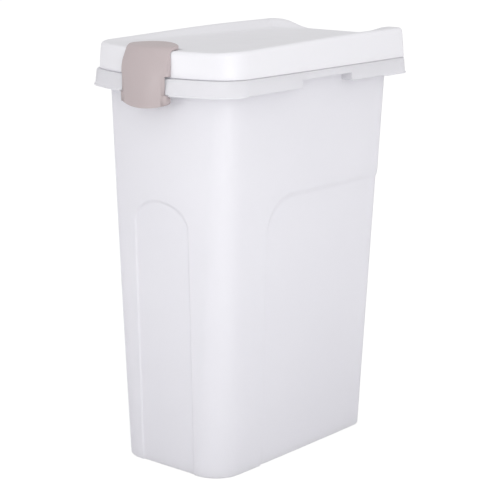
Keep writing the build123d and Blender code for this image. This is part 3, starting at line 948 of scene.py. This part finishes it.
def moulded_plastic(
    name, colour, roughness, grain=900.0, grain_depth=0.00001, let_through=0.0, rim_painted_shade=1.0,
    metallic=0.0, specular=0.5,
):
    """Moulded surface: faint colour drift, a fine grain and uneven gloss. A rim factor below 1 darkens the
    colour of the tub's rim as painted shade.
    """
    material = bpy.data.materials.new(name)
    n = Nodes(material)
    place = n.add("ShaderNodeTexCoord").outputs["Object"]
    drift = n.add("ShaderNodeTexNoise", inputs={"Vector": place, "Scale": DRIFT_SCALE, "Detail": 3.0})
    fine = n.add("ShaderNodeTexNoise", inputs={"Vector": place, "Scale": grain, "Detail": 2.0})
    smudge = n.add("ShaderNodeTexNoise", inputs={
        "Vector": place, "Scale": SMUDGE_SCALE, "Detail": 6.0, "Roughness": 0.6,
    })
    low = tuple(c * (1 - COLOUR_SPREAD) for c in colour) + (1,)
    high = tuple(min(c * (1 + COLOUR_SPREAD), 1) for c in colour) + (1,)
    colours = {"Factor": drift.outputs["Fac"], MIX_LOW: low, MIX_HIGH: high}
    tone = n.add("ShaderNodeMix", {"data_type": "RGBA"}, colours).outputs[MIX_RESULT]
    # Painted shade: the colour is scaled darker where the rim attribute is set
    if rim_painted_shade < 1:
        rim = n.add("ShaderNodeAttribute", {"attribute_name": RIM_SHADE_ATTRIBUTE})
        share = n.add("ShaderNodeMapRange", inputs={
            "Value": rim.outputs["Fac"], "To Min": 1.0, "To Max": rim_painted_shade,
        })
        painted_shade_on_rim = n.add("ShaderNodeVectorMath", {"operation": "SCALE"}, {0: tone, "Scale": share.outputs[0]})
        tone = painted_shade_on_rim.outputs["Vector"]
    gloss = n.add("ShaderNodeMapRange", inputs={
        "Value": smudge.outputs["Fac"], "From Min": SMUDGE_LEVELS[0], "From Max": SMUDGE_LEVELS[1],
        "To Min": roughness - GLOSS_SPREAD[0], "To Max": roughness + GLOSS_SPREAD[1],
    })
    bump = n.add("ShaderNodeBump", inputs={
        "Height": fine.outputs["Fac"], "Strength": GRAIN_STRENGTH, "Distance": grain_depth,
    }).outputs["Normal"]
    surface = n.add("ShaderNodeBsdfPrincipled", inputs={
        "Base Color": tone, "Roughness": gloss.outputs["Result"], "Normal": bump, "IOR": PLASTIC_IOR,
        "Metallic": metallic, "Specular IOR Level": specular,
    }).outputs["BSDF"]
    if let_through:
        behind = n.add("ShaderNodeBsdfTranslucent", inputs={"Color": tone, "Normal": bump})
        surface = n.mixed(let_through, surface, behind.outputs[0])
    n.add("ShaderNodeOutputMaterial", inputs={"Surface": surface})
    return material


# Floor and world

FLOOR_HALF = 12.0
# Shape of the floor's painted shade, reaching further along Y than along X
FLOOR_SHADE_STRETCH = (1.0, 0.6, 1.0)

# Distance from the middle of the floor and grey there, for light that bounces off it: painted shade, darker
# near the object
FLOOR_SHADE_NEAR = (0.08, 0.27)
FLOOR_SHADE_FAR = (0.85, 0.92)

# The floor that is seen: white, with a little of the object's shadow
SHADOW_GREY = (0.34, 0.34, 0.34, 1)
SEEN_GLOW = 0.74

WORLD_SLOPE = (0.16, -0.12, 0.20)
WORLD_LEVEL = 0.77


def floor_material():
    """White where it is seen, with the object's soft shadow, and for bounced light a grey that is darker
    near the object: painted shade.
    """
    material = bpy.data.materials.new("floor")
    n = Nodes(material)
    place = n.add("ShaderNodeTexCoord").outputs["Object"]
    stretched = n.add("ShaderNodeVectorMath", {"operation": "MULTIPLY"}, {0: place, 1: FLOOR_SHADE_STRETCH})
    away = n.add("ShaderNodeVectorMath", {"operation": "LENGTH"}, {0: stretched.outputs["Vector"]})
    grey = n.add("ShaderNodeMapRange", {"interpolation_type": "SMOOTHSTEP"}, {
        "Value": away.outputs["Value"], "From Min": FLOOR_SHADE_NEAR[0], "From Max": FLOOR_SHADE_FAR[0],
        "To Min": FLOOR_SHADE_NEAR[1], "To Max": FLOOR_SHADE_FAR[1],
    })
    # Painted shade: bounced light comes off the floor darker near the object
    painted_shade_bounce = n.add("ShaderNodeBsdfDiffuse", inputs={"Color": grey.outputs["Result"]})
    shadowed = n.add("ShaderNodeBsdfDiffuse", inputs={"Color": SHADOW_GREY})
    glow = n.add("ShaderNodeEmission", inputs={"Color": WHITE, "Strength": SEEN_GLOW})
    seen = n.add("ShaderNodeAddShader", inputs={0: shadowed.outputs[0], 1: glow.outputs[0]})
    is_seen = n.is_any("Is Camera Ray", "Is Transmission Ray", "Is Glossy Ray")
    surface = n.mixed(is_seen, painted_shade_bounce.outputs[0], seen.outputs[0])
    n.add("ShaderNodeOutputMaterial", inputs={"Surface": surface})
    return material


def make_stage():
    mesh = bpy.data.meshes.new("floor")
    corners = [(x * FLOOR_HALF, y * FLOOR_HALF, 0) for x, y in ((-1, -1), (1, -1), (1, 1), (-1, 1))]
    mesh.from_pydata(corners, [], [(0, 1, 2, 3)])
    mesh.materials.append(floor_material())
    add_object("floor", mesh)


def make_world():
    """Soft light from all round, a little stronger from the front right and from above."""
    world = bpy.data.worlds.new("studio")
    bpy.context.scene.world = world
    n = Nodes(world)
    place = n.add("ShaderNodeTexCoord").outputs["Generated"]
    along = n.add("ShaderNodeVectorMath", {"operation": "DOT_PRODUCT"}, {0: place, 1: WORLD_SLOPE})
    level = n.add("ShaderNodeMath", {"operation": "ADD"}, {0: along.outputs["Value"], 1: WORLD_LEVEL})
    soft = n.add("ShaderNodeBackground", inputs={"Color": WHITE, "Strength": level.outputs[0]})
    seen = n.add("ShaderNodeBackground", inputs={"Color": WHITE, "Strength": 1.0})
    is_seen = n.is_any("Is Camera Ray", "Is Transmission Ray")
    surface = n.mixed(is_seen, soft.outputs[0], seen.outputs[0])
    n.add("ShaderNodeOutputWorld", inputs={"Surface": surface})


# Scene

make_camera()
make_stage()
make_world()
for lamp in LAMPS:
    make_lamp(lamp)
bpy.context.scene.view_settings.view_transform = "Standard"

# The tub's rim gets painted shade, its colour scaled down to 0.925
tub_plastic = moulded_plastic("tub_plastic", (0.965, 0.96, 0.99), 0.45, let_through=0.42, rim_painted_shade=0.925)
lid_plastic = moulded_plastic("lid_plastic", (0.785, 0.778, 0.813), 0.38)
clip_plastic = moulded_plastic("clip_plastic", (0.48, 0.414, 0.42), 0.32, specular=0.25)
seal_rubber = moulded_plastic("seal_rubber", (0.55, 0.55, 0.56), 0.6, grain=500.0, grain_depth=0.00003)
pin_steel = moulded_plastic("pin_steel", (0.6, 0.6, 0.6), 0.3, metallic=1.0)
pin_plastic = moulded_plastic("pin_plastic", (0.80, 0.795, 0.82), 0.4)

for piece, body, node, slot, material in (
    (make_tub(), "tub", "tub", "tub_plastic", tub_plastic),
    (make_lid(), "lid", "lid", "lid_plastic", lid_plastic),
    (make_lid_ribs(), "lid", "lid", "lid_plastic", lid_plastic),
    (make_seal(), "lid", "lid_seal", "seal_rubber", seal_rubber),
    (make_clip(), "clip", "clip", "clip_plastic", clip_plastic),
    (make_clip_pin(), "lid", "clip_pin", "pin_steel", pin_steel),
    (make_hinge_pin("right_pin", 1), "tub", "right_hinge_pin", "hinge_pin_plastic", pin_plastic),
    (make_hinge_pin("left_pin", -1), "tub", "left_hinge_pin", "hinge_pin_plastic", pin_plastic),
):
    piece.data.materials.clear()
    piece.data.materials.append(material)
    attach(piece, body)
    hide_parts(node)
